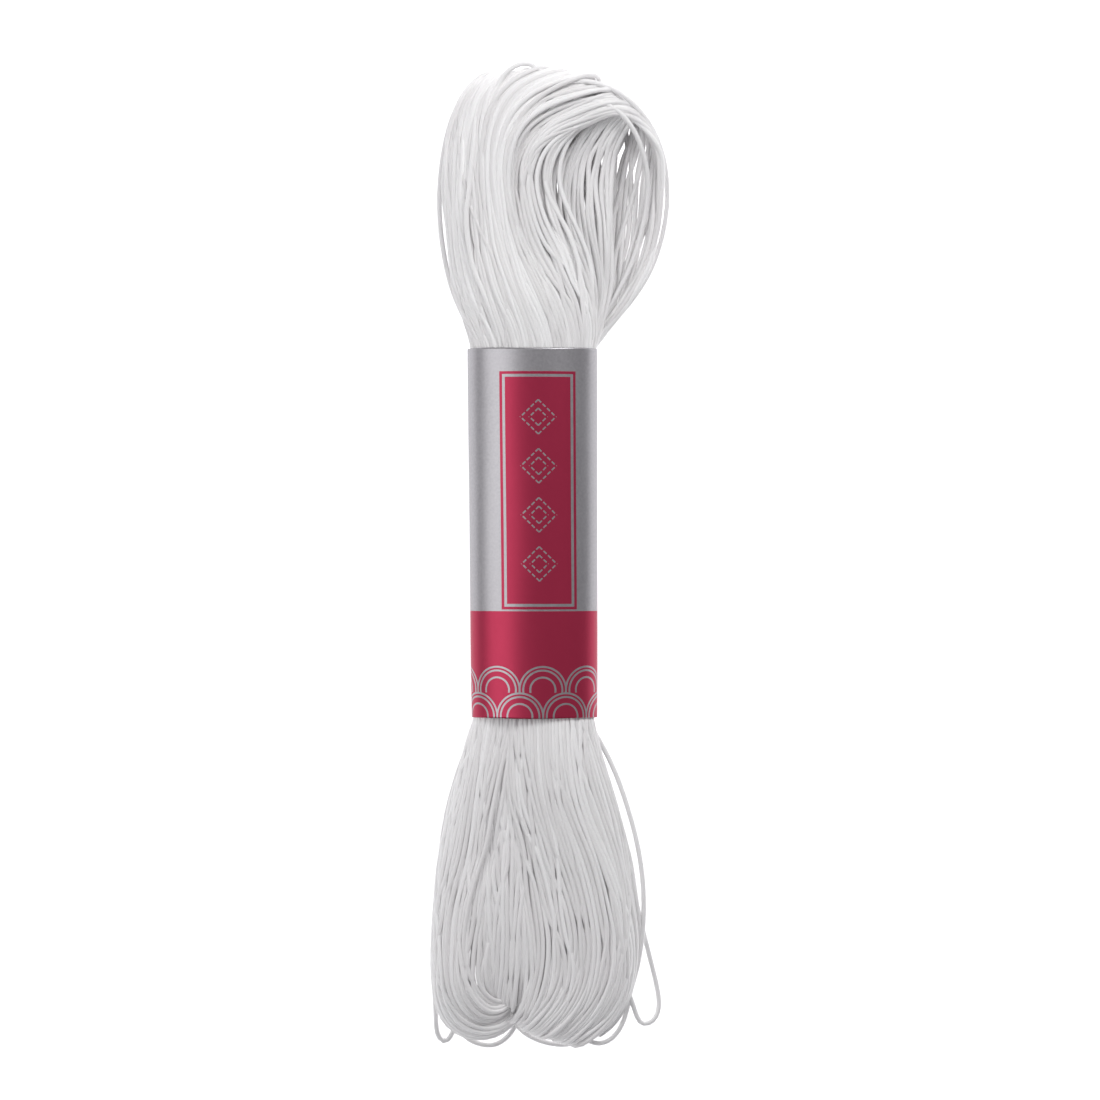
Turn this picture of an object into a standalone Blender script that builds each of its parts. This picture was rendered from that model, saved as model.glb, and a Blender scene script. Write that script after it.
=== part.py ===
"""A skein of embroidery thread with a paper band, lying on its back.

Metres, +Z up. The thread runs along Y, the loop with the open eye is at +Y, and the origin is on the resting
surface under the middle of the skein. The tables are in millimetres.
"""

import math
from collections import namedtuple

import bmesh
import bpy
import numpy as np

MM = 0.001

# Driving dimensions, in millimetres.
BAND_TOP = 31.4  # Y of the band's upper edge
BAND_BOTTOM = -24.6
BAND_HEIGHT = 11.0  # from the resting surface
BAND_WIDTHS = (19.0, 19.7)  # at the lower and the upper edge
BAND_MIDDLES = (-2.05, -2.4)  # X of the middle at the lower and the upper edge
BAND_FOOT = 7.0  # width of the flat that the band rests on
PAPER = 0.4
CLEARANCE = 0.35  # between the paper and the thread
FLARE = 0.9  # how far the thread spreads for each millimetre beyond the band's lips
LIP = 1.6  # how far past each edge of the band the thread still lies close
THREAD = 0.8  # diameter of one strand
RIDGE = 0.45  # how far a lock of strands stands proud of the valleys beside it
CREASE = 0.9  # depth of the crease beside the eye

# Shares, without a unit.
RIDGE_UNEVENNESS = 0.4  # how much one lock's height differs from the next
RIDGE_RUN_IN = 0.08  # share of a ribbon's length over which the locks rise out of the waist
CREASE_HALF_WIDTH = 0.03  # of a ribbon's width
CREASE_REACH = (0.29, 0.29)  # where along a ribbon the crease is deepest, and how far it runs on either side
RIM_FULLNESS = 4  # the higher, the squarer a ribbon's rims

BAND_SIDES = 56
WAIST_SIDES = 32
POINTS_PER_KNOT = 3  # along a loose turn

WAIST_MIDDLE = BAND_HEIGHT / 2
WAIST_HALF_HEIGHT = WAIST_MIDDLE - PAPER - CLEARANCE

# Each row is one section across a ribbon of thread, on its way out of the waist in front, round the end and
# back into the waist behind. A lane holds the X, Y, Z of the ribbon's middle at that share of its width.
TOP_LANES = {"left": 0.0, "lean": 0.40, "crest": 0.62, "crease": 0.77, "rim": 1.0}
TopSection = namedtuple("TopSection", ("thickness", *TOP_LANES))
TOP_LOOP = (
    TopSection(2.4, (-11.0, 28.0, 6.5), (-4.2, 28.0, 8.8), (-0.2, 28.0, 8.8), (2.5, 28.0, 8.3), (6.3, 28.0, 6.5)),
    TopSection(2.6, (-11.8, 32.5, 6.4), (-4.4, 32.6, 9.0), (-0.1, 32.6, 9.1), (2.8, 32.6, 8.8), (7.4, 32.6, 6.8)),
    TopSection(3.2, (-13.7, 38.5, 5.9), (-6.5, 38.9, 9.0), (-2.3, 38.9, 9.3), (1.2, 38.9, 9.2), (7.0, 38.9, 7.2)),
    TopSection(3.6, (-14.9, 45.7, 5.2), (-8.4, 45.8, 8.3), (-5.2, 45.8, 8.7), (-2.7, 45.3, 8.7), (5.8, 45.3, 6.7)),
    TopSection(3.6, (-15.5, 53.0, 5.0), (-9.2, 53.4, 8.1), (-6.7, 53.4, 8.6), (-4.9, 52.8, 8.7), (2.5, 52.8, 6.8)),
    TopSection(3.5, (-15.5, 59.4, 5.0), (-9.5, 60.0, 8.1), (-7.1, 59.6, 8.6), (-4.9, 59.0, 8.8), (1.3, 58.3, 7.2)),
    TopSection(3.2, (-14.7, 65.1, 4.9), (-8.6, 66.2, 7.8), (-5.5, 65.4, 8.5), (-2.3, 64.0, 8.9), (3.2, 63.1, 7.7)),
    TopSection(2.8, (-13.5, 69.3, 4.6), (-6.2, 70.8, 7.1), (-1.2, 69.8, 8.2), (2.6, 67.0, 8.8), (6.1, 65.3, 8.1)),
    TopSection(2.4, (-11.7, 72.0, 3.7), (-1.2, 73.1, 5.4), (5.6, 72.0, 7.0), (8.6, 69.0, 8.2), (10.3, 66.9, 8.2)),
    TopSection(2.3, (-12.0, 70.2, 2.0), (-0.8, 71.6, 2.8), (7.2, 71.0, 4.6), (12.2, 68.2, 6.2), (13.9, 65.6, 7.6)),
    TopSection(2.4, (-13.2, 65.5, 1.3), (-2.6, 67.0, 1.5), (5.6, 67.2, 2.6), (13.0, 64.6, 4.4), (16.8, 62.0, 6.6)),
    TopSection(2.5, (-14.2, 58.5, 1.3), (-5.2, 59.5, 1.3), (2.6, 60.2, 1.6), (11.6, 58.8, 2.8), (17.4, 57.0, 5.4)),
    TopSection(2.6, (-14.4, 51.5, 1.3), (-5.6, 51.8, 1.3), (1.7, 52.0, 1.4), (10.6, 51.5, 2.0), (17.0, 50.4, 4.6)),
    TopSection(2.6, (-14.1, 44.2, 1.4), (-4.8, 44.2, 1.3), (3.2, 44.4, 1.4), (9.8, 44.2, 1.7), (15.1, 43.6, 4.0)),
    TopSection(2.6, (-13.2, 37.3, 2.2), (-3.4, 37.3, 1.5), (4.4, 37.4, 1.6), (8.4, 37.4, 2.1), (11.4, 37.3, 3.8)),
    TopSection(2.6, (-11.8, 32.5, 3.9), (-2.8, 32.6, 1.9), (2.6, 32.6, 1.9), (5.3, 32.6, 2.6), (7.7, 32.6, 4.0)),
    TopSection(2.4, (-11.0, 28.0, 4.5), (-3.4, 28.0, 2.2), (0.8, 28.0, 2.2), (3.6, 28.0, 3.0), (6.3, 28.0, 4.5)),
)

LEFT_LANES = {"left": 0.0, "middle": 0.5, "inner": 1.0}
LeftSection = namedtuple("LeftSection", ("thickness", *LEFT_LANES))
LEFT_CURL = (
    LeftSection(2.2, (-10.2, -21.0, 6.4), (-8.0, -21.0, 7.6), (-4.8, -21.0, 8.6)),
    LeftSection(2.5, (-12.2, -28.0, 6.0), (-9.0, -28.0, 7.7), (-5.0, -28.0, 8.6)),
    LeftSection(3.1, (-14.7, -36.6, 4.6), (-10.8, -36.6, 7.0), (-5.8, -36.6, 8.2)),
    LeftSection(3.5, (-16.2, -44.8, 3.6), (-12.2, -44.8, 6.2), (-6.5, -44.8, 7.6)),
    LeftSection(3.5, (-17.1, -53.9, 3.0), (-13.6, -53.9, 5.6), (-8.0, -53.9, 7.1)),
    LeftSection(3.3, (-17.4, -62.4, 2.6), (-14.1, -61.6, 5.2), (-8.9, -61.0, 6.6)),
    LeftSection(3.0, (-17.0, -68.2, 2.4), (-13.6, -66.3, 4.9), (-9.2, -64.4, 6.1)),
    LeftSection(2.6, (-15.2, -72.1, 2.3), (-11.8, -69.5, 4.4), (-8.6, -66.7, 5.2)),
    LeftSection(2.3, (-10.8, -74.1, 2.2), (-9.2, -70.7, 3.6), (-7.4, -67.4, 4.1)),
    LeftSection(2.1, (-6.4, -72.8, 1.9), (-6.2, -69.4, 2.6), (-5.8, -66.2, 2.9)),
    LeftSection(2.1, (-3.2, -68.8, 1.4), (-4.2, -66.2, 1.6), (-5.0, -63.8, 1.9)),
    LeftSection(2.2, (-2.4, -62.6, 1.2), (-3.8, -61.6, 1.3), (-5.4, -60.6, 1.4)),
    LeftSection(2.4, (-3.0, -54.0, 1.2), (-5.2, -54.0, 1.2), (-7.8, -54.0, 1.3)),
    LeftSection(2.5, (-3.8, -44.0, 1.2), (-7.0, -44.0, 1.3), (-10.6, -44.0, 1.4)),
    LeftSection(2.5, (-4.6, -34.0, 1.4), (-7.8, -34.0, 1.5), (-11.2, -34.0, 1.9)),
    LeftSection(2.5, (-4.8, -27.5, 2.1), (-7.8, -27.5, 2.5), (-10.8, -27.5, 3.7)),
    LeftSection(2.2, (-4.8, -21.0, 2.4), (-7.6, -21.0, 3.3), (-10.2, -21.0, 4.6)),
)

MIDDLE_LANES = {"left": 0.0, "right": 1.0}
MiddleSection = namedtuple("MiddleSection", ("thickness", *MIDDLE_LANES))
MIDDLE_FOLD = (
    MiddleSection(2.2, (-8.6, -21.0, 7.2), (-3.4, -21.0, 8.4)),
    MiddleSection(2.4, (-8.8, -28.0, 7.4), (-3.2, -28.0, 8.1)),
    MiddleSection(2.8, (-9.4, -36.6, 7.4), (-2.6, -36.6, 7.8)),
    MiddleSection(3.0, (-10.2, -44.8, 7.2), (-1.8, -44.8, 7.5)),
    MiddleSection(3.0, (-10.8, -53.9, 6.8), (-1.4, -53.9, 7.1)),
    MiddleSection(2.6, (-10.8, -61.0, 6.0), (-1.4, -61.0, 6.3)),
    MiddleSection(2.2, (-10.6, -65.6, 4.8), (-1.8, -67.0, 5.3)),
    MiddleSection(1.9, (-9.8, -67.8, 3.4), (-2.4, -69.8, 3.8)),
    MiddleSection(1.9, (-9.0, -67.4, 1.8), (-2.8, -69.2, 1.9)),
    MiddleSection(2.2, (-8.8, -63.0, 1.2), (-3.0, -64.5, 1.2)),
    MiddleSection(2.4, (-9.4, -54.0, 1.2), (-3.4, -54.0, 1.2)),
    MiddleSection(2.4, (-9.6, -44.0, 1.3), (-3.8, -44.0, 1.3)),
    MiddleSection(2.4, (-9.4, -34.0, 1.5), (-4.4, -34.0, 1.5)),
    MiddleSection(2.4, (-9.0, -27.5, 2.6), (-4.6, -27.5, 2.3)),
    MiddleSection(2.2, (-8.6, -21.0, 3.6), (-4.6, -21.0, 2.7)),
)

RIGHT_LANES = {"inner": 0.0, "middle": 0.33, "outer": 0.67, "right": 1.0}
RightSection = namedtuple("RightSection", ("thickness", *RIGHT_LANES))
RIGHT_CURL = (
    RightSection(2.4, (-6.2, -21.0, 8.4), (-1.6, -21.0, 8.8), (2.9, -21.0, 8.2), (6.2, -21.0, 6.5)),
    RightSection(2.7, (-6.4, -28.0, 8.8), (-1.4, -28.0, 9.1), (3.4, -28.0, 8.6), (7.5, -28.0, 6.3)),
    RightSection(3.2, (-6.2, -36.6, 8.6), (-0.6, -36.6, 8.9), (5.0, -36.6, 8.1), (10.0, -36.6, 5.0)),
    RightSection(3.6, (-5.2, -44.8, 8.0), (1.8, -44.8, 8.2), (7.6, -44.8, 7.2), (12.1, -44.8, 4.0)),
    RightSection(3.6, (-3.8, -53.9, 7.7), (4.3, -53.9, 7.9), (9.8, -53.9, 6.7), (13.4, -53.9, 3.3)),
    RightSection(3.3, (-3.2, -60.0, 7.4), (5.2, -60.4, 7.6), (10.4, -60.8, 6.2), (13.4, -61.2, 2.9)),
    RightSection(2.9, (-3.5, -65.0, 6.8), (4.0, -66.2, 7.0), (9.2, -66.9, 5.6), (12.3, -67.4, 2.7)),
    RightSection(2.4, (-4.6, -69.0, 6.0), (1.0, -70.6, 6.0), (5.8, -71.4, 4.9), (9.2, -71.8, 2.6)),
    RightSection(2.0, (-5.8, -71.2, 4.0), (-1.6, -72.8, 4.2), (2.4, -73.8, 3.6), (5.8, -74.2, 2.3)),
    RightSection(1.9, (-5.6, -70.2, 1.9), (-2.0, -71.6, 2.0), (1.6, -72.8, 1.7), (4.6, -73.2, 1.3)),
    RightSection(2.4, (-4.2, -64.8, 1.3), (-0.4, -65.6, 1.2), (3.2, -66.4, 1.2), (6.6, -67.0, 1.2)),
    RightSection(2.6, (-3.0, -56.0, 1.3), (1.4, -56.5, 1.3), (6.0, -57.0, 1.3), (9.8, -57.5, 1.3)),
    RightSection(2.6, (-4.0, -45.0, 1.3), (0.8, -45.0, 1.3), (5.6, -45.0, 1.3), (10.2, -45.0, 1.4)),
    RightSection(2.6, (-5.2, -34.0, 1.4), (-0.6, -34.0, 1.4), (4.2, -34.0, 1.5), (8.6, -34.0, 2.2)),
    RightSection(2.6, (-6.0, -27.5, 1.9), (-1.4, -27.5, 1.8), (3.1, -27.5, 2.3), (7.2, -27.5, 4.0)),
    RightSection(2.4, (-6.2, -21.0, 2.6), (-1.6, -21.0, 2.2), (2.9, -21.0, 2.8), (6.2, -21.0, 4.5)),
)

# The thread pressed together in the band, as a row for each oval section: Y, X of its middle, its half width and
# half height.
WaistSection = namedtuple("WaistSection", "y x half_width half_height")
WAIST = (
    WaistSection(36.5, -2.2, 6.8, 2.4),
    WaistSection(34.0, -2.2, 8.6, 4.0),
    WaistSection(31.4, -2.3, 9.1, 4.7),
    WaistSection(3.4, -2.2, 8.9, 4.7),
    WaistSection(-24.6, -2.05, 8.7, 4.7),
    WaistSection(-28.5, -2.1, 8.2, 4.0),
    WaistSection(-31.5, -2.1, 6.6, 2.4),
)

# Turns that have slipped out of the hank, each by the X, Y, Z that it passes through.
LOOSE_TURNS = {
    "loose_loop_right": (
        (12.0, -48.0, 3.8), (13.3, -52.4, 3.4), (14.2, -56.0, 2.6), (15.2, -60.0, 1.6), (16.4, -64.8, 0.8),
        (17.0, -68.4, 0.5), (16.5, -70.8, 0.5), (15.1, -71.8, 0.5), (13.9, -71.2, 0.8), (13.0, -68.8, 1.4),
        (12.0, -66.0, 2.4),
    ),
    "loose_loop_left": (
        (-16.4, -50.0, 3.4), (-17.1, -55.0, 2.6), (-17.4, -61.0, 1.8), (-17.4, -66.5, 1.2), (-17.2, -70.5, 0.8),
        (-17.0, -73.2, 0.5), (-15.9, -74.5, 0.5), (-14.7, -73.2, 0.9), (-14.2, -71.0, 2.0),
    ),
    "loose_loop_top": (
        (-8.0, 70.6, 7.6), (-6.4, 73.2, 7.6), (-4.2, 74.6, 7.2), (-2.0, 74.3, 6.6), (0.2, 72.4, 6.2),
    ),
}


def spline(knots, values, at):
    """A natural cubic spline through values at the knots, read at the given places."""
    knots = np.asarray(knots, float)
    values = np.asarray(values, float)
    steps = np.diff(knots)
    shape = (-1,) + (1,) * (values.ndim - 1)
    slopes = np.diff(values, axis=0) / steps.reshape(shape)
    system = np.eye(len(knots))
    bends = np.zeros_like(values)
    for i in range(1, len(knots) - 1):
        system[i, i - 1 : i + 2] = steps[i - 1], 2 * (steps[i - 1] + steps[i]), steps[i]
        bends[i] = 6 * (slopes[i] - slopes[i - 1])
    bends = np.linalg.solve(system, bends.reshape(len(knots), -1)).reshape(values.shape)
    cell = np.clip(np.searchsorted(knots, at, side="right") - 1, 0, len(steps) - 1)
    step = steps[cell].reshape(shape)
    after = (np.asarray(at) - knots[cell]).reshape(shape)
    before = step - after
    curved = (bends[cell] * before**3 + bends[cell + 1] * after**3) / (6 * step)
    low = (values[cell] / step - bends[cell] * step / 6) * before
    high = (values[cell + 1] / step - bends[cell + 1] * step / 6) * after
    return curved + low + high


def unit(vectors):
    return vectors / np.linalg.norm(vectors, axis=-1, keepdims=True)


def ribbon_middle(sections, lanes, rows, columns):
    """The ribbon's middle surface, its outward normals and its thickness, on a grid of rows by columns."""
    guides = np.array([[getattr(section, lane) for lane in lanes] for section in sections])
    along = np.linspace(0, len(sections) - 1, rows)
    across = np.linspace(0, 1, columns)
    stations = np.arange(len(sections))
    rowed = spline(stations, guides, along)
    middle = spline(list(lanes.values()), rowed.transpose(1, 0, 2), across).transpose(1, 0, 2)
    thickness = spline(stations, [section.thickness for section in sections], along)
    outward = unit(np.cross(np.gradient(middle, axis=1), np.gradient(middle, axis=0)))
    faces_up = np.sign(outward[0, columns // 2, 2])
    return middle, outward * faces_up, thickness


def held_by_band(points):
    """The points drawn in to the oval that the band leaves for the thread, which opens out beyond its edges."""
    x, y, z = np.moveaxis(points, -1, 0)
    edges = (BAND_BOTTOM, BAND_TOP)
    beyond = np.maximum(np.maximum(BAND_BOTTOM - y, y - BAND_TOP) - LIP, 0) * FLARE
    middle = np.interp(y, edges, BAND_MIDDLES)
    half_width = np.interp(y, edges, BAND_WIDTHS) / 2 - PAPER - CLEARANCE + beyond
    half_height = WAIST_HALF_HEIGHT + beyond
    reach = np.hypot((x - middle) / half_width, (z - WAIST_MIDDLE) / half_height)
    draw = 1 / np.maximum(reach, 1)
    return np.stack([middle + (x - middle) * draw, y, WAIST_MIDDLE + (z - WAIST_MIDDLE) * draw], axis=-1)


def ridges(rows, columns, crease_at):
    """How far each point of a ribbon's outer face is raised: a lock of strands on every other column."""
    column = np.arange(columns)
    along = np.linspace(0, 1, rows)
    lock = np.where(column % 2 == 1, RIDGE, -RIDGE) / 2
    lock = lock * (1 + RIDGE_UNEVENNESS * np.sin(5 * column))
    risen = np.clip(np.minimum(along, 1 - along) / RIDGE_RUN_IN, 0, 1)
    raised = np.outer(risen, lock)
    if crease_at is not None:
        dip = np.exp(-(((np.linspace(0, 1, columns) - crease_at) / CREASE_HALF_WIDTH) ** 2))
        deepest, reach = CREASE_REACH
        raised -= CREASE * np.outer(np.clip(1 - np.abs(along - deepest) / reach, 0, 1), dip)
    return raised


def ribbon_solid(name, sections, lanes, rows, locks, crease_at=None):
    """A closed loft: ridged outside, smooth inside, its two rims round, and its low side flat on the surface."""
    columns = 2 * locks + 1
    middle, outward, thickness = ribbon_middle(sections, lanes, rows, columns)
    across = np.linspace(-1, 1, columns)
    half = np.outer(thickness / 2, np.sqrt(1 - across**RIM_FULLNESS))[..., None]
    outer = middle + outward * (half + ridges(rows, columns, crease_at)[..., None] * (half > 0))
    inner = middle - outward * half
    loops = held_by_band(np.concatenate([outer, inner[:, -3:0:-2]], axis=1))
    loops[..., 2] = np.maximum(loops[..., 2], 0)
    return loft(name, loops)


def loft(name, loops):
    """An object whose side faces join each closed loop of points to the next, with a cap at both ends."""
    mesh = bmesh.new()
    rings = [[mesh.verts.new(point * MM) for point in loop] for loop in loops]
    for low, high in zip(rings, rings[1:]):
        for i in range(len(low)):
            j = (i + 1) % len(low)
            mesh.faces.new((low[i], low[j], high[j], high[i]))
    mesh.faces.new(rings[0])
    mesh.faces.new(rings[-1])
    bmesh.ops.triangulate(mesh, faces=mesh.faces[-2:])
    bmesh.ops.recalc_face_normals(mesh, faces=mesh.faces)
    return object_from(name, mesh)


def object_from(name, mesh):
    data = bpy.data.meshes.new(name)
    mesh.to_mesh(data)
    mesh.free()
    return bpy.data.objects.new(name, data)


def waist_solid():
    """The thread inside the band, a loft of ovals that narrow beyond the band's edges."""
    turns = np.linspace(0, 2 * math.pi, WAIST_SIDES, endpoint=False)
    loops = [
        np.stack(
            [
                x + half_width * np.cos(turns),
                np.full_like(turns, y),
                np.maximum(WAIST_MIDDLE + half_height * np.sin(turns), PAPER + CLEARANCE),
            ],
            axis=1,
        )
        for y, x, half_width, half_height in WAIST
    ]
    return loft("hank", loops)


def loose_turn(name, points):
    """One strand along a smooth curve through the points, as a closed mesh."""
    knots = np.arange(len(points))
    places = spline(knots, points, np.linspace(0, knots[-1], POINTS_PER_KNOT * len(points))) * MM
    curve = bpy.data.curves.new(name, "CURVE")
    curve.dimensions = "3D"
    curve.bevel_depth = THREAD / 2 * MM
    curve.bevel_resolution = 1
    curve.use_fill_caps = True
    path = curve.splines.new("POLY")
    path.points.add(len(places) - 1)
    for point, place in zip(path.points, places):
        point.co = (*place, 1)
    wire = bpy.data.objects.new(name, curve)
    bpy.context.scene.collection.objects.link(wire)
    view = bpy.context.evaluated_depsgraph_get()
    data = bpy.data.meshes.new_from_object(wire.evaluated_get(view))
    mesh = bmesh.new()
    mesh.from_mesh(data)
    bmesh.ops.remove_doubles(mesh, verts=mesh.verts, dist=0.00001)
    bpy.data.objects.remove(wire)
    return object_from(name, mesh)


def paper_band():
    """The sleeve: an open oval tube, flat underneath, given the paper's thickness."""
    bpy.ops.mesh.primitive_cylinder_add(vertices=BAND_SIDES, radius=1, depth=1, end_fill_type="NOTHING")
    band = bpy.context.object
    band.name = band.data.name = "paper_band"
    for vertex in band.data.vertices:
        x, y, z = vertex.co
        edge = 0 if z < 0 else 1
        side = BAND_WIDTHS[edge] / 2 * x
        height = WAIST_MIDDLE * (1 - y)
        floor = height < WAIST_MIDDLE * (1 - math.sqrt(1 - (BAND_FOOT / BAND_WIDTHS[edge]) ** 2))
        vertex.co = (
            (BAND_MIDDLES[edge] + side) * MM,
            (BAND_BOTTOM, BAND_TOP)[edge] * MM,
            (0 if floor else height) * MM,
        )
    wall = band.modifiers.new("paper", "SOLIDIFY")
    wall.thickness = PAPER * MM
    wall.offset = -1
    return band


def material(name, colour, roughness):
    made = bpy.data.materials.new(name)
    made.use_nodes = True
    shader = made.node_tree.nodes["Principled BSDF"]
    shader.inputs["Base Color"].default_value = (*colour, 1)
    shader.inputs["Roughness"].default_value = roughness
    return made


def finish(thing, collection, look):
    """Puts an object in its collection, with its material and smooth shading."""
    for holder in list(thing.users_collection):
        holder.objects.unlink(thing)
    collection.objects.link(thing)
    thing.data.materials.append(look)
    thing.data.shade_smooth()


def main():
    for old in list(bpy.data.objects):
        bpy.data.objects.remove(old)
    skein = bpy.data.collections.new("skein")
    joined = bpy.data.collections.new("joined to the hank")
    for collection in (skein, joined):
        bpy.context.scene.collection.children.link(collection)
    cotton = material("white cotton", (0.86, 0.86, 0.86), 0.7)
    paper = material("printed paper", (0.58, 0.58, 0.6), 0.45)

    hank = waist_solid()
    finish(hank, skein, cotton)
    pieces = [
        ribbon_solid("left_curl", LEFT_CURL, LEFT_LANES, rows=38, locks=5),
        ribbon_solid("middle_fold", MIDDLE_FOLD, MIDDLE_LANES, rows=32, locks=4),
        ribbon_solid("top_loop", TOP_LOOP, TOP_LANES, rows=46, locks=13, crease_at=TOP_LANES["crease"]),
        ribbon_solid("right_curl", RIGHT_CURL, RIGHT_LANES, rows=40, locks=9),
        *(loose_turn(name, points) for name, points in LOOSE_TURNS.items()),
    ]
    for piece in pieces:
        finish(piece, joined, cotton)
        piece.hide_render = True
        piece.display_type = "WIRE"
        union = hank.modifiers.new(piece.name, "BOOLEAN")
        union.operation = "UNION"
        union.solver = "EXACT"
        union.object = piece

    finish(paper_band(), skein, paper)


main()
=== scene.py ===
"""The looks of a skein of white embroidery thread in a paper band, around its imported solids.

The thread is wound turn by turn: each turn goes up the front, round the loop at +Y, down the back and round
one of the curls at -Y, and runs on into the next turn inside the band. The tables and the named sizes are in
millimetres, and Blender's units are metres. The skein lies on its back on Z = 0, and +Y points up in the
picture.
"""

import math
from collections import namedtuple

import bpy
import numpy as np
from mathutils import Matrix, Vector

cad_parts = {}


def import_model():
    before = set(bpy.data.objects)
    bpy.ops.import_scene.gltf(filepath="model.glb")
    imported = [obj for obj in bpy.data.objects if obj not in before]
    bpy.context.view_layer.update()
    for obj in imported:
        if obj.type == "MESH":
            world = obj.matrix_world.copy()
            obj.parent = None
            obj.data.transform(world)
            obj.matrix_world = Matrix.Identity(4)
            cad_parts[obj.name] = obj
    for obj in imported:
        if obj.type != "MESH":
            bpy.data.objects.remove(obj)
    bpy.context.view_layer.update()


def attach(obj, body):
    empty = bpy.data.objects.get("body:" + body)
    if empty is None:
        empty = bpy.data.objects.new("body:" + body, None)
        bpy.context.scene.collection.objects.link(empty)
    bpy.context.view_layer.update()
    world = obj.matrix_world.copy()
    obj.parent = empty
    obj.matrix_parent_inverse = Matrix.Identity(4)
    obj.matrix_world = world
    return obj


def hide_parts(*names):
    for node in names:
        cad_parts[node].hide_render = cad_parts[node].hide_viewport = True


MM = 0.001

# The thread.
TURNS = 133
THREAD = 0.76  # diameter of a strand
SPACING = 1.0  # between strands that lie side by side with nothing pressing on them
LAYER = 0.44  # between a strand and the ones that it lies across
DEEPER = 0.5  # how far the inner strands hang into the hollow of a loop
SETTLING_STEPS = 70
RISE = 0.04  # how far a strand near the top moves up in each step of settling
COVERED_RISE = 0.65  # share of that for a strand with others on top of it
PUSH = 0.22  # share of an overlap between two strands that one step takes away
PULL = 0.04  # share of a strand's way back to its lane that one step takes it
EASING = 0.25  # share of a kink that one step smooths away
ROW_HEIGHT = 0.866  # of round strands packed in rows, as a share of their width
SIDES = 8  # of a strand's mesh
RING_STEP = 1.05  # between the rings of a strand's mesh
PLIES = 4  # in a strand
PLY_PITCH = 6.0  # length in which the plies go once round
TURNS_PER_PIECE = 34  # keeps a piece's triangles within bounds

# The band.
BAND_TOP = 31.4  # Y of the band's upper edge
BAND_BOTTOM = -24.6
BAND_HEIGHT = 11.0
BAND_WIDTHS = (19.0, 19.7)  # at the lower and the upper edge
BAND_MIDDLES = (-2.05, -2.4)  # X of the middle at the lower and the upper edge
BAND_FOOT = 7.0  # width of the flat that the band rests on
PAPER = 0.22
CLEARANCE = 0.05  # between the paper and the thread
FLARE = 0.9  # how far the thread spreads for each millimetre beyond the band's lips
LIP = 0.2  # how far past each edge of the band the thread still lies close
CREASE = 1.7  # depth of the crease beside the eye
CREASE_AT = 0.29  # share of the loop's length where the crease is deepest, and its reach on either side
CREASE_HALF_WIDTH = 0.035  # share of the loop's width
CREASE_GAP = 0.028  # share of the loop's width by which strands part at the crease
CREASE_SPREAD = 0.05  # share of the loop's width over which the parting fades out

WAIST_MIDDLE = BAND_HEIGHT / 2
OVERLAP = 7.0  # of the paper's two ends, underneath
GLUE = 0.03  # between the two ends
BAND_SWELL = 0.035  # how far the paper's slight unevenness stands out
BAND_HEM = 0.004  # share of the band's length that its outermost rows of faces take

# The print, in millimetres round the band from its middle line and along Y.
PRINT_TURN = 0.9  # how far the print sits to the right of the middle
PANEL = (-4.9, 4.9, -7.3, 27.0)  # left, right, bottom, top
RULE = 0.42  # width of the two lines round the panel
FOOT_TOP = -8.4
WAVE_PITCH = 7.0
WAVE_RADII = (3.5, 2.95, 1.9)
WAVE_LINE = 0.28
WAVE_FOOT = -0.4  # the arcs run down to here from their middle
WAVE_ROWS = ((0.4, -20.3), (3.9, -24.3))  # sideways shift and Y of the arcs' middles, top row first
STITCH_REPEAT = 7.4  # from one diamond to the next
STITCH_RINGS = (1.3, 2.6)  # from a diamond's middle to its corners
STITCH_LINE = 0.3
STITCH_STEP = 1.3  # from one stitch to the next
STITCH_SHARE = 0.66  # of a step that the stitch fills
STITCH_MARGIN = 1.6  # kept free at the panel's top and bottom

# The camera: the width that it sees, and where its middle is.
VIEW_WIDTH = 167.3
VIEW_X = 0.3
VIEW_Y = 0.84
VIEW_PLANE = 6.0  # height at which the view has that width
LENS = 135.0
SENSOR = 36.0

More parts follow.
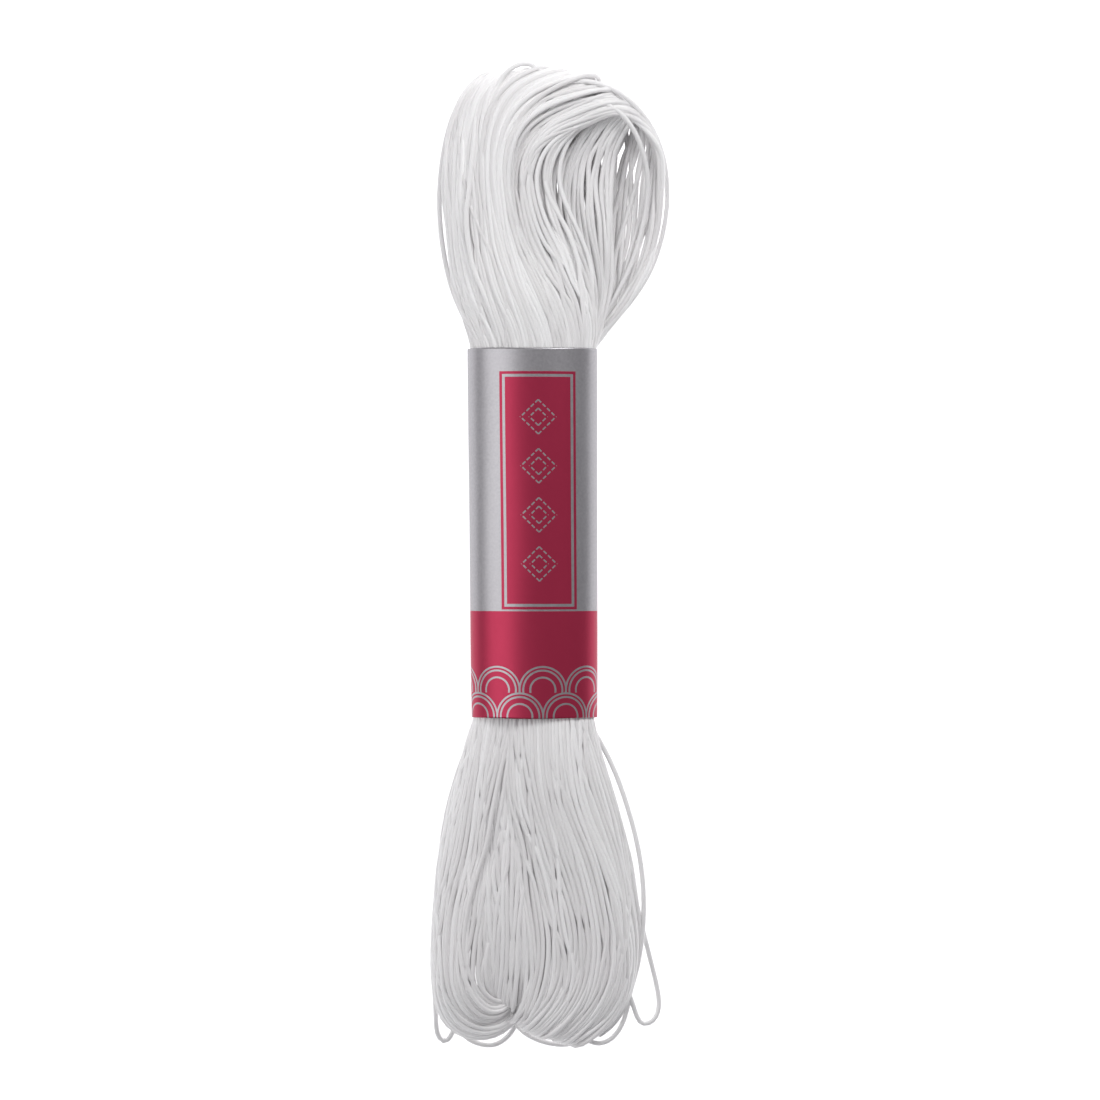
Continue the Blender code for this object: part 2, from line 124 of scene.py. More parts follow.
# Each row is one section across a ribbon of thread, on its way out of the waist in front, round the end and
# back into the waist behind. A lane holds the X, Y, Z of the ribbon's middle at that share of its width.
TOP_LANES = {"left": 0.0, "lean": 0.40, "crest": 0.62, "crease": 0.77, "rim": 1.0}
Loop = namedtuple("Loop", ("thickness", *TOP_LANES))
TOP_LOOP = (
    Loop(2.4, (-11.0, 28.0, 6.5), (-4.2, 28.0, 8.8), (-0.2, 28.0, 8.8), (2.5, 28.0, 8.3), (6.3, 28.0, 6.5)),
    Loop(2.6, (-11.8, 32.5, 6.4), (-4.4, 32.6, 9.0), (-0.1, 32.6, 9.1), (2.8, 32.6, 8.8), (7.4, 32.6, 6.8)),
    Loop(3.2, (-13.7, 38.5, 5.9), (-6.5, 38.9, 9.0), (-2.3, 38.9, 9.3), (1.2, 38.9, 9.2), (7.0, 38.9, 7.2)),
    Loop(3.6, (-14.9, 45.7, 5.2), (-8.4, 45.8, 8.3), (-5.2, 45.8, 8.7), (-2.7, 45.3, 8.7), (5.8, 45.3, 6.7)),
    Loop(3.6, (-15.5, 53.0, 5.0), (-9.2, 53.4, 8.1), (-6.7, 53.4, 8.6), (-4.9, 52.8, 8.7), (2.5, 52.8, 6.8)),
    Loop(3.5, (-15.5, 59.4, 5.0), (-9.5, 60.0, 8.1), (-7.1, 59.6, 8.6), (-4.9, 59.0, 8.8), (1.3, 58.3, 7.2)),
    Loop(3.2, (-14.7, 65.1, 4.9), (-8.6, 66.2, 7.8), (-5.5, 65.4, 8.5), (-2.3, 64.0, 8.9), (3.2, 63.1, 7.7)),
    Loop(2.8, (-13.5, 69.3, 4.6), (-6.2, 70.8, 7.1), (-1.2, 69.8, 8.2), (2.6, 67.0, 8.8), (6.1, 65.3, 8.1)),
    Loop(2.4, (-11.7, 72.0, 3.7), (-1.2, 73.1, 5.4), (5.6, 72.0, 7.0), (8.6, 69.0, 8.2), (10.3, 66.9, 8.2)),
    Loop(2.3, (-12.0, 70.2, 2.0), (-0.8, 71.6, 2.8), (7.2, 71.0, 4.6), (12.2, 68.2, 6.2), (13.9, 65.6, 7.6)),
    Loop(2.4, (-13.2, 65.5, 1.3), (-2.6, 67.0, 1.5), (5.6, 67.2, 2.6), (13.0, 64.6, 4.4), (16.8, 62.0, 6.6)),
    Loop(2.5, (-14.2, 58.5, 1.3), (-5.2, 59.5, 1.3), (2.6, 60.2, 1.6), (11.6, 58.8, 2.8), (17.4, 57.0, 5.4)),
    Loop(2.6, (-14.4, 51.5, 1.3), (-5.6, 51.8, 1.3), (1.7, 52.0, 1.4), (10.6, 51.5, 2.0), (17.0, 50.4, 4.6)),
    Loop(2.6, (-14.1, 44.2, 1.4), (-4.8, 44.2, 1.3), (3.2, 44.4, 1.4), (9.8, 44.2, 1.7), (15.1, 43.6, 4.0)),
    Loop(2.6, (-13.2, 37.3, 2.2), (-3.4, 37.3, 1.5), (4.4, 37.4, 1.6), (8.4, 37.4, 2.1), (11.4, 37.3, 3.8)),
    Loop(2.6, (-11.8, 32.5, 3.9), (-2.8, 32.6, 1.9), (2.6, 32.6, 1.9), (5.3, 32.6, 2.6), (7.7, 32.6, 4.0)),
    Loop(2.4, (-11.0, 28.0, 4.5), (-3.4, 28.0, 2.2), (0.8, 28.0, 2.2), (3.6, 28.0, 3.0), (6.3, 28.0, 4.5)),
)

LEFT_LANES = {"left": 0.0, "middle": 0.5, "inner": 1.0}
LeftSection = namedtuple("LeftSection", ("thickness", *LEFT_LANES))
LEFT_CURL = (
    LeftSection(2.2, (-10.2, -21.0, 6.4), (-8.0, -21.0, 7.6), (-4.8, -21.0, 8.6)),
    LeftSection(2.5, (-12.2, -28.0, 6.0), (-9.0, -28.0, 7.7), (-5.0, -28.0, 8.6)),
    LeftSection(3.1, (-14.7, -36.6, 4.6), (-10.8, -36.6, 7.0), (-5.8, -36.6, 8.2)),
    LeftSection(3.5, (-16.2, -44.8, 3.6), (-12.2, -44.8, 6.2), (-6.5, -44.8, 7.6)),
    LeftSection(3.5, (-17.1, -53.9, 3.0), (-13.6, -53.9, 5.6), (-8.0, -53.9, 7.1)),
    LeftSection(3.3, (-17.4, -62.4, 2.6), (-14.1, -61.6, 5.2), (-8.9, -61.0, 6.6)),
    LeftSection(3.0, (-17.0, -68.2, 2.4), (-13.6, -66.3, 4.9), (-9.2, -64.4, 6.1)),
    LeftSection(2.6, (-15.2, -72.1, 2.3), (-11.8, -69.5, 4.4), (-8.6, -66.7, 5.2)),
    LeftSection(2.3, (-10.8, -74.1, 2.2), (-9.2, -70.7, 3.6), (-7.4, -67.4, 4.1)),
    LeftSection(2.1, (-6.4, -72.8, 1.9), (-6.2, -69.4, 2.6), (-5.8, -66.2, 2.9)),
    LeftSection(2.1, (-3.2, -68.8, 1.4), (-4.2, -66.2, 1.6), (-5.0, -63.8, 1.9)),
    LeftSection(2.2, (-2.4, -62.6, 1.2), (-3.8, -61.6, 1.3), (-5.4, -60.6, 1.4)),
    LeftSection(2.4, (-3.0, -54.0, 1.2), (-5.2, -54.0, 1.2), (-7.8, -54.0, 1.3)),
    LeftSection(2.5, (-3.8, -44.0, 1.2), (-7.0, -44.0, 1.3), (-10.6, -44.0, 1.4)),
    LeftSection(2.5, (-4.6, -34.0, 1.4), (-7.8, -34.0, 1.5), (-11.2, -34.0, 1.9)),
    LeftSection(2.5, (-4.8, -27.5, 2.1), (-7.8, -27.5, 2.5), (-10.8, -27.5, 3.7)),
    LeftSection(2.2, (-4.8, -21.0, 2.4), (-7.6, -21.0, 3.3), (-10.2, -21.0, 4.6)),
)

MIDDLE_LANES = {"left": 0.0, "right": 1.0}
MiddleSection = namedtuple("MiddleSection", ("thickness", *MIDDLE_LANES))
MIDDLE_FOLD = (
    MiddleSection(2.2, (-8.6, -21.0, 7.2), (-3.4, -21.0, 8.4)),
    MiddleSection(2.4, (-8.8, -28.0, 7.4), (-3.2, -28.0, 8.1)),
    MiddleSection(2.8, (-9.4, -36.6, 7.4), (-2.6, -36.6, 7.8)),
    MiddleSection(3.0, (-10.2, -44.8, 7.2), (-1.8, -44.8, 7.5)),
    MiddleSection(3.0, (-10.8, -53.9, 6.8), (-1.4, -53.9, 7.1)),
    MiddleSection(2.6, (-10.8, -61.0, 6.0), (-1.4, -61.0, 6.3)),
    MiddleSection(2.2, (-10.6, -65.6, 4.8), (-1.8, -67.0, 5.3)),
    MiddleSection(1.9, (-9.8, -67.8, 3.4), (-2.4, -69.8, 3.8)),
    MiddleSection(1.9, (-9.0, -67.4, 1.8), (-2.8, -69.2, 1.9)),
    MiddleSection(2.2, (-8.8, -63.0, 1.2), (-3.0, -64.5, 1.2)),
    MiddleSection(2.4, (-9.4, -54.0, 1.2), (-3.4, -54.0, 1.2)),
    MiddleSection(2.4, (-9.6, -44.0, 1.3), (-3.8, -44.0, 1.3)),
    MiddleSection(2.4, (-9.4, -34.0, 1.5), (-4.4, -34.0, 1.5)),
    MiddleSection(2.4, (-9.0, -27.5, 2.6), (-4.6, -27.5, 2.3)),
    MiddleSection(2.2, (-8.6, -21.0, 3.6), (-4.6, -21.0, 2.7)),
)

RIGHT_LANES = {"inner": 0.0, "middle": 0.33, "outer": 0.67, "right": 1.0}
RightSection = namedtuple("RightSection", ("thickness", *RIGHT_LANES))
RIGHT_CURL = (
    RightSection(2.4, (-6.2, -21.0, 8.4), (-1.6, -21.0, 8.8), (2.9, -21.0, 8.2), (6.2, -21.0, 6.5)),
    RightSection(2.7, (-6.4, -28.0, 8.8), (-1.4, -28.0, 9.1), (3.4, -28.0, 8.6), (7.5, -28.0, 6.3)),
    RightSection(3.2, (-6.2, -36.6, 8.6), (-0.6, -36.6, 8.9), (5.0, -36.6, 8.1), (10.0, -36.6, 5.0)),
    RightSection(3.6, (-5.2, -44.8, 8.0), (1.8, -44.8, 8.2), (7.6, -44.8, 7.2), (12.1, -44.8, 4.0)),
    RightSection(3.6, (-3.8, -53.9, 7.7), (4.3, -53.9, 7.9), (9.8, -53.9, 6.7), (13.4, -53.9, 3.3)),
    RightSection(3.3, (-3.2, -60.0, 7.4), (5.2, -60.4, 7.6), (10.4, -60.8, 6.2), (13.4, -61.2, 2.9)),
    RightSection(2.9, (-3.5, -65.0, 6.8), (4.0, -66.2, 7.0), (9.2, -66.9, 5.6), (12.3, -67.4, 2.7)),
    RightSection(2.4, (-4.6, -69.0, 6.0), (1.0, -70.6, 6.0), (5.8, -71.4, 4.9), (9.2, -71.8, 2.6)),
    RightSection(2.0, (-5.8, -71.2, 4.0), (-1.6, -72.8, 4.2), (2.4, -73.8, 3.6), (5.8, -74.2, 2.3)),
    RightSection(1.9, (-5.6, -70.2, 1.9), (-2.0, -71.6, 2.0), (1.6, -72.8, 1.7), (4.6, -73.2, 1.3)),
    RightSection(2.4, (-4.2, -64.8, 1.3), (-0.4, -65.6, 1.2), (3.2, -66.4, 1.2), (6.6, -67.0, 1.2)),
    RightSection(2.6, (-3.0, -56.0, 1.3), (1.4, -56.5, 1.3), (6.0, -57.0, 1.3), (9.8, -57.5, 1.3)),
    RightSection(2.6, (-4.0, -45.0, 1.3), (0.8, -45.0, 1.3), (5.6, -45.0, 1.3), (10.2, -45.0, 1.4)),
    RightSection(2.6, (-5.2, -34.0, 1.4), (-0.6, -34.0, 1.4), (4.2, -34.0, 1.5), (8.6, -34.0, 2.2)),
    RightSection(2.6, (-6.0, -27.5, 1.9), (-1.4, -27.5, 1.8), (3.1, -27.5, 2.3), (7.2, -27.5, 4.0)),
    RightSection(2.4, (-6.2, -21.0, 2.6), (-1.6, -21.0, 2.2), (2.9, -21.0, 2.8), (6.2, -21.0, 4.5)),
)

# Turns that have slipped out of the hank, each by the X, Y, Z that it passes through.
LOOSE_TURNS = {
    "loose_loop_right": (
        (12.0, -48.0, 3.8), (13.3, -52.4, 3.4), (14.2, -56.0, 2.6), (15.2, -60.0, 1.6), (16.4, -64.8, 0.8),
        (17.0, -68.4, 0.5), (16.5, -70.8, 0.5), (15.1, -71.8, 0.5), (13.9, -71.2, 0.8), (13.0, -68.8, 1.4),
        (12.0, -66.0, 2.4),
    ),
    "loose_loop_left": (
        (-16.4, -50.0, 3.4), (-17.1, -55.0, 2.6), (-17.4, -61.0, 1.8), (-17.4, -66.5, 1.2),
        (-17.2, -70.5, 0.8), (-17.0, -73.2, 0.5), (-15.9, -74.5, 0.5), (-14.7, -73.2, 0.9),
        (-14.2, -71.0, 2.0),
    ),
    "loose_loop_top": (
        (-8.0, 70.6, 7.6), (-6.4, 73.2, 7.6), (-4.2, 74.6, 7.2), (-2.0, 74.3, 6.6), (0.2, 72.4, 6.2),
    ),
}


# How a ribbon's strands lie: how many, the share of them that lies left of each share of the width, how far
# they wander from their lane, how many stray right across others, how many stand off at each side, where
# along the ribbon it folds back, and where across it a crease runs.
Ribbon = namedtuple("Ribbon", "sections lanes strands crowding wander strays stand_off fold_at crease_at")
EVEN = ((0, 1), (0, 1))
TOP_CROWDING = ((0, 0.755, 0.878, 1), (0, 0.62, 0.77, 1))
TOP = Ribbon(TOP_LOOP, TOP_LANES, TURNS, TOP_CROWDING, 0.34, 12, 8, 0.5, TOP_LANES["crease"])
LEFT = Ribbon(LEFT_CURL, LEFT_LANES, 39, EVEN, 0.22, 3, 4, 0.5, None)
MIDDLE = Ribbon(MIDDLE_FOLD, MIDDLE_LANES, 26, EVEN, 0.3, 2, 0, 0.5, None)
RIGHT = Ribbon(RIGHT_CURL, RIGHT_LANES, 68, EVEN, 0.26, 6, 7, 0.55, None)

# More turns that lie loose at the edges, too fine for the solids.
STRAY_TURNS = {
    "stray_eye_outer": (
        (1.0, 71.4, 8.4), (6.0, 71.8, 8.6), (11.0, 70.0, 8.2), (15.0, 66.2, 6.8), (17.4, 61.2, 5.2),
        (18.2, 55.6, 3.6), (17.7, 50.0, 2.8), (16.0, 44.4, 2.4), (13.2, 39.6, 2.6), (9.8, 35.4, 3.4),
        (7.2, 32.0, 4.2),
    ),
    "stray_eye_inner": (
        (4.0, 69.0, 8.8), (8.6, 68.4, 9.0), (12.4, 65.4, 8.2), (14.6, 60.6, 6.6), (15.2, 55.4, 4.8),
        (14.2, 49.2, 3.4), (12.2, 43.4, 2.8), (9.4, 38.0, 3.2), (7.0, 33.2, 4.2),
    ),
    "stray_top_left": (
        (-11.0, 33.0, 5.4), (-14.2, 39.4, 4.4), (-16.0, 46.6, 3.8), (-16.6, 54.0, 3.8), (-16.0, 61.0, 4.2),
        (-14.4, 67.2, 4.8), (-11.6, 71.8, 4.8), (-8.4, 73.6, 4.2), (-5.6, 72.0, 3.4),
    ),
    "stray_right_side": (
        (6.6, -26.0, 5.6), (9.6, -31.6, 5.0), (12.0, -38.0, 4.6), (13.8, -45.0, 4.2), (14.6, -52.4, 3.8),
        (14.2, -59.6, 3.2), (12.8, -66.0, 2.4), (10.6, -71.0, 1.4), (7.8, -73.6, 0.8),
    ),
    "hem_arc_right": (
        (12.6, -58.0, 3.4), (12.9, -62.5, 2.6), (12.6, -66.8, 1.8), (11.6, -71.2, 1.0), (9.8, -74.0, 0.6),
        (7.4, -74.8, 0.5), (4.8, -73.4, 0.7), (2.6, -70.6, 1.2), (1.6, -68.0, 1.3),
    ),
    "hem_arc_middle": (
        (-5.8, -69.0, 3.4), (-4.8, -71.8, 2.0), (-2.2, -74.0, 0.9), (1.4, -75.0, 0.5), (4.4, -74.5, 0.5),
        (6.4, -72.2, 0.9), (6.2, -69.6, 1.3), (5.2, -67.0, 1.3),
    ),
    "hem_arc_left": (
        (-14.6, -64.5, 3.4), (-14.4, -69.5, 1.8), (-13.0, -73.4, 0.7), (-10.2, -75.0, 0.5),
        (-7.4, -74.7, 0.5), (-5.2, -72.4, 1.0), (-4.5, -69.8, 1.6), (-4.4, -67.0, 1.7),
    ),
}

# Turns that lie just inside the others, spread like a fan: how many, and the first and the last of them.
Fan = namedtuple("Fan", "turns left right")
FRONT_MIDDLE = (
    (-1.6, -23.0, 9.2), (-1.4, -28.0, 9.3), (-0.6, -36.6, 9.2), (1.8, -44.8, 8.7), (4.3, -53.9, 8.4),
    (5.0, -60.4, 8.0), (3.6, -66.4, 7.0), (0.6, -70.4, 5.4), (-1.0, -71.4, 3.4),
)
FAN_UNEVENNESS = 0.25  # how far a turn of a fan strays from its place
FANS = {
    "eye_turns": Fan(
        16,
        (
            (7.2, 68.6, 8.0), (4.8, 66.4, 7.4), (2.0, 63.6, 6.2), (-0.2, 60.2, 5.2), (-1.2, 56.0, 4.9),
            (-0.6, 51.4, 4.8), (1.6, 46.4, 4.6), (4.4, 41.0, 4.5), (6.0, 36.0, 4.8), (6.3, 31.6, 4.9),
        ),
        (
            (13.4, 66.6, 7.2), (12.2, 65.6, 6.6), (10.8, 63.0, 5.6), (9.9, 60.0, 4.5), (9.6, 56.0, 4.1),
            (9.7, 51.0, 3.7), (9.8, 45.6, 3.5), (9.4, 40.6, 3.7), (8.2, 35.8, 4.3), (7.0, 31.6, 4.8),
        ),
    ),
    "crease_turns": Fan(
        11,
        (
            (1.2, 66.6, 8.0), (-2.6, 63.2, 8.1), (-4.6, 58.0, 8.2), (-4.3, 52.0, 8.4), (-2.5, 45.6, 8.9),
            (-0.4, 40.6, 9.3), (0.9, 36.0, 9.1), (1.2, 31.6, 8.2),
        ),
        (
            (4.8, 65.4, 8.0), (1.4, 62.4, 7.9), (-0.4, 58.0, 7.6), (0.8, 52.0, 7.6), (3.4, 45.6, 8.0),
            (4.9, 40.6, 8.4), (5.5, 36.0, 8.1), (5.0, 31.6, 7.2),
        ),
    ),
    "front_turns_left": Fan(
        18,
        (
            (-7.4, -23.0, 7.8), (-8.2, -28.0, 8.0), (-9.2, -36.6, 7.9), (-10.2, -44.8, 7.7),
            (-11.0, -53.9, 7.3), (-11.0, -60.5, 6.5), (-10.4, -65.2, 5.2), (-9.6, -67.2, 3.8),
            (-9.2, -66.8, 2.4),
        ),
        FRONT_MIDDLE,
    ),
    "front_turns_right": Fan(
        9,
        FRONT_MIDDLE,
        (
            (3.0, -23.0, 8.5), (3.4, -28.0, 8.8), (5.0, -36.6, 8.5), (7.6, -44.8, 7.7), (9.8, -53.9, 7.2),
            (10.2, -60.8, 6.7), (8.8, -66.9, 5.9), (5.6, -71.0, 4.6), (3.4, -72.6, 2.8),
        ),
    ),
}


def spline(knots, values, at):
    """A natural cubic spline through values at the knots, read at the given places."""
    knots = np.asarray(knots, float)
    values = np.asarray(values, float)
    steps = np.diff(knots)
    shape = (-1,) + (1,) * (values.ndim - 1)
    slopes = np.diff(values, axis=0) / steps.reshape(shape)
    system = np.eye(len(knots))
    bends = np.zeros_like(values)
    for i in range(1, len(knots) - 1):
        system[i, i - 1 : i + 2] = steps[i - 1], 2 * (steps[i - 1] + steps[i]), steps[i]
        bends[i] = 6 * (slopes[i] - slopes[i - 1])
    bends = np.linalg.solve(system, bends.reshape(len(knots), -1)).reshape(values.shape)
    cell = np.clip(np.searchsorted(knots, at, side="right") - 1, 0, len(steps) - 1)
    step = steps[cell].reshape(shape)
    after = (np.asarray(at) - knots[cell]).reshape(shape)
    before = step - after
    curved = (bends[cell] * before**3 + bends[cell + 1] * after**3) / (6 * step)
    low = (values[cell] / step - bends[cell] * step / 6) * before
    high = (values[cell + 1] / step - bends[cell + 1] * step / 6) * after
    return curved + low + high


def unit(vectors):
    return vectors / np.linalg.norm(vectors, axis=-1, keepdims=True)


def lengths(points):
    """How far along each point lies on its line of points."""
    steps = np.linalg.norm(np.diff(points, axis=-2), axis=-1)
    return np.concatenate([np.zeros_like(steps[..., :1]), np.cumsum(steps, axis=-1)], axis=-1)


def ribbon_surface(ribbon, columns=61):
    """The ribbon's middle surface, outward normals and half thickness on a grid, its rows evenly spaced."""
    guides = np.array([[getattr(section, lane) for lane in ribbon.lanes] for section in ribbon.sections])
    stations = np.arange(len(guides))
    fine = np.linspace(0, stations[-1], 400)
    travelled = lengths(spline(stations, guides.mean(axis=1), fine))
    rows = int(travelled[-1] / RING_STEP)
    along = np.interp(np.linspace(0, travelled[-1], rows), travelled, fine)
    across = np.linspace(0, 1, columns)
    rowed = spline(stations, guides, along)
    middle = spline(list(ribbon.lanes.values()), rowed.transpose(1, 0, 2), across).transpose(1, 0, 2)
    thickness = spline(stations, [section.thickness for section in ribbon.sections], along)
    outward = unit(np.cross(np.gradient(middle, axis=1), np.gradient(middle, axis=0)))
    outward *= np.sign(outward[0, columns // 2, 2])
    half = np.outer(thickness / 2, np.sqrt(1 - np.linspace(-1, 1, columns) ** 4))
    return middle, outward, half, along / stations[-1]


def waves(rng, count, rows, longest):
    """Smooth random lines of unit size, one for each strand, swinging over the longest length and less."""
    at = np.arange(rows) * RING_STEP
    lines = np.zeros((count, rows))
    for share in (1.0, 0.7, 0.5):
        phase = rng.uniform(0, 2 * math.pi, (count, 1))
        lines += np.cos(2 * math.pi * at / (longest * share * rng.uniform(0.8, 1.25, (count, 1))) + phase)
    return lines * math.sqrt(2 / 3)


def read_rows(grid, share):
    """The value of the grid (rows x columns) in each row at each strand's share across (strands x rows)."""
    columns = grid.shape[1]
    place = share * (columns - 1)
    cell = np.clip(place.astype(int), 0, columns - 2)
    part = place - cell
    row = np.arange(grid.shape[0])[None, :]
    if grid.ndim == 3:
        part = part[..., None]
    return grid[row, cell] * (1 - part) + grid[row, cell + 1] * part


def in_front(along):
    """How strongly the crease shows at each share of the loop's length: not at all in the back."""
    return np.clip(1 - np.abs(along - CREASE_AT) / CREASE_AT, 0, 1)


def settle(rng, ribbon, middle, half, along):
    """Where each strand runs in the ribbon: its share across and its height over the middle, in each row.

    The strands start in layers, each wandering about its lane, and then push each other apart row by row
    until they lie side by side. Distances across are measured along the ribbon's middle surface.
    """
    count, rows = ribbon.strands, len(middle)
    arc = lengths(middle)
    width = arc[:, -1]
    layers = 6
    lane = np.interp((np.arange(count) + rng.uniform(0.1, 0.9, count)) / count, *ribbon.crowding)
    level = (rng.permutation(count) % layers + 0.5) / layers

    home = np.repeat(lane[:, None], rows, axis=1)
    home += ribbon.wander * layers / count * waves(rng, count, rows, 60)
    strays = rng.choice(count, ribbon.strays, replace=False)
    home[strays] += 0.07 * waves(rng, len(strays), rows, 90)
    level[strays] = 1.0
    if ribbon.crease_at is not None:
        side = np.where(lane < ribbon.crease_at, -1.0, 1.0)[:, None]
        gap = np.maximum((home - ribbon.crease_at) * side, 0)
        parting = CREASE_GAP * in_front(along) * np.exp(-((gap / CREASE_SPREAD) ** 2))
        home = ribbon.crease_at + side * (gap + parting)
    home = np.clip(home, 0.02, 0.98)

    home_at = read_rows(arc, home)
    at = home_at.copy()
    room = np.maximum(half - THREAD / 2, 0.05)
    deeper = DEEPER * np.abs(np.sin(2 * math.pi * along))
    sunk = rng.uniform(0, 0.2, (count, 1)) * (1 + waves(rng, count, rows, 50)) / 2
    top = read_rows(room, home)
    height = -top - deeper + level[:, None] * (2 * top + deeper)
    squash = SPACING / LAYER
    capacity = width * (2 * half.mean(axis=1) + deeper) * squash / (ROW_HEIGHT * count)
    apart = np.minimum(SPACING, np.sqrt(0.9 * capacity))

    for _ in range(SETTLING_STEPS):
        gap_across = at[:, None] - at[None]
        gap_high = (height[:, None] - height[None]) * squash
        covers = ((gap_high < -0.5) & (np.abs(gap_across) < SPACING)).sum(axis=1)
        distance = np.hypot(gap_across, gap_high) + 1e-6
        push = np.maximum(apart - distance, 0) / distance * PUSH
        at += (gap_across * push).sum(axis=1)
        height += (gap_high * push).sum(axis=1) / squash + RISE * np.where(covers < 2, 1, COVERED_RISE)
        at += PULL * (home_at - at)
        offset = at - home_at
        offset[:, 1:-1] += EASING * (offset[:, 2:] + offset[:, :-2] - 2 * offset[:, 1:-1])
        at = np.clip(home_at + offset, 0.3 * THREAD, width - 0.3 * THREAD)
        height[:, 1:-1] += EASING * (height[:, 2:] + height[:, :-2] - 2 * height[:, 1:-1])
        share = share_of(arc, at)
        limit = read_rows(room, share)
        height = np.clip(height, -limit - deeper, limit - sunk)
    return share_of(arc, at), height


def share_of(arc, at):
    """The share across the ribbon for each distance along its row."""
    across = np.linspace(0, 1, arc.shape[1])
    return np.stack([np.interp(at[:, row], arc[row], across) for row in range(len(arc))], axis=1)


def held_by_band(points):
    """The points drawn in to the oval that the band leaves for the thread, wider beyond its edges."""
    x, y, z = np.moveaxis(points, -1, 0)
    edges = (BAND_BOTTOM, BAND_TOP)
    spare = PAPER + CLEARANCE + THREAD / 2
    beyond = np.maximum(np.maximum(BAND_BOTTOM - y, y - BAND_TOP) - LIP, 0) * FLARE
    middle = np.interp(y, edges, BAND_MIDDLES)
    half_width = np.interp(y, edges, BAND_WIDTHS) / 2 - spare + beyond
    half_height = WAIST_MIDDLE - spare + beyond
    reach = np.hypot((x - middle) / half_width, (z - WAIST_MIDDLE) / half_height)
    draw = 1 / np.maximum(reach, 1)
    return np.stack([middle + (x - middle) * draw, y, WAIST_MIDDLE + (z - WAIST_MIDDLE) * draw], axis=-1)


def slackened(rng, ribbon, share, height, along):
    """The strands with the outermost standing off, and each one's fold a little longer or shorter."""
    order = np.argsort(share[:, len(along) // 4])
    for side, strands in ((-1, order[: ribbon.stand_off]), (1, order[len(order) - ribbon.stand_off :])):
        away = side * rng.uniform(-0.02, 0.045, (len(strands), 1))
        swing = 1 + 0.5 * waves(rng, len(strands), len(along), 70)
        share[strands] += away * np.sin(math.pi * along) * swing
    count = len(share)
    slack = rng.uniform(-0.35, 0.45, count)
    inner = order[ribbon.stand_off : count - ribbon.stand_off]
    long_ones = rng.choice(inner, count // 9, replace=False)
    slack[long_ones] = rng.uniform(0.4, 1.1, len(long_ones))
    reach = 0.06 + 0.04 * np.abs(slack)[:, None]
    height = height + slack[:, None] * np.exp(-(((along - ribbon.fold_at) / reach) ** 2))

    raised = rng.choice(count, count // 8, replace=False)
    centre = rng.uniform(0.15, 0.85, (len(raised), 1))
    swell = rng.uniform(0.2, 0.9, (len(raised), 1))
    height[raised] += swell * np.exp(-(((along - centre) / 0.1) ** 2))
    return share, height


def smoothed(path, times=3):
    """The lines with their small kinks rounded off."""
    for _ in range(times):
        path[:, 1:-1] += EASING * (path[:, 2:] + path[:, :-2] - 2 * path[:, 1:-1])
    return path


def strand_paths(rng, ribbon):
    """The centre line and the outward direction of each of the ribbon's strands."""
    middle, outward, half, along = ribbon_surface(ribbon)
    share, height = settle(rng, ribbon, middle, half, along)
    share, height = slackened(rng, ribbon, share, height, along)
    normal = unit(read_rows(outward, share))
    if ribbon.crease_at is not None:
        dip = np.exp(-(((share - ribbon.crease_at) / CREASE_HALF_WIDTH) ** 2))
        height = height - CREASE * dip * in_front(along)
    path = smoothed(held_by_band(read_rows(middle, share) + normal * height[..., None]))
    path[..., 2] = np.maximum(path[..., 2], THREAD / 2)
    return path, normal


def wind():
    """The skein's turns in winding order, each as two runs: a centre line and its outward directions."""
    rng = np.random.default_rng(4)
    top_path, top_normal = strand_paths(rng, TOP)
    bottoms = [strand_paths(rng, ribbon) for ribbon in (LEFT, MIDDLE, RIGHT)]
    bottom = [(path[i], normal[i]) for path, normal in bottoms for i in range(len(path))]
    top_order = np.argsort(top_path[:, 0, 0])
    bottom_order = np.argsort([path[0, 0] for path, _ in bottom])
    turns = []
    for high, low in zip(top_order, bottom_order):
        low_path, low_normal = bottom[low]
        turns.append(((top_path[high], top_normal[high]), (low_path[::-1], low_normal[::-1])))
    return turns


def joined(runs, waist_points=4):
    """One line through all the runs, with a few points between each two for the stretch inside the band.

    With each point goes the number of its run, which lets every run have its own tone and twist.
    """
    path = [runs[0][0]]
    normal = [runs[0][1]]
    number = [np.zeros(len(path[0]), int)]
    share = np.linspace(0, 1, waist_points + 2)[1:-1, None]
    for (last_path, last_normal), (next_path, next_normal) in zip(runs, runs[1:]):
        path.append(last_path[-1] * (1 - share) + next_path[0] * share)
        normal.append(last_normal[-1] * (1 - share) + next_normal[0] * share)
        path.append(next_path)
        normal.append(next_normal)
        number.append(np.full(waist_points + len(next_path), len(number)))
    return np.concatenate(path), np.concatenate(normal), np.concatenate(number)


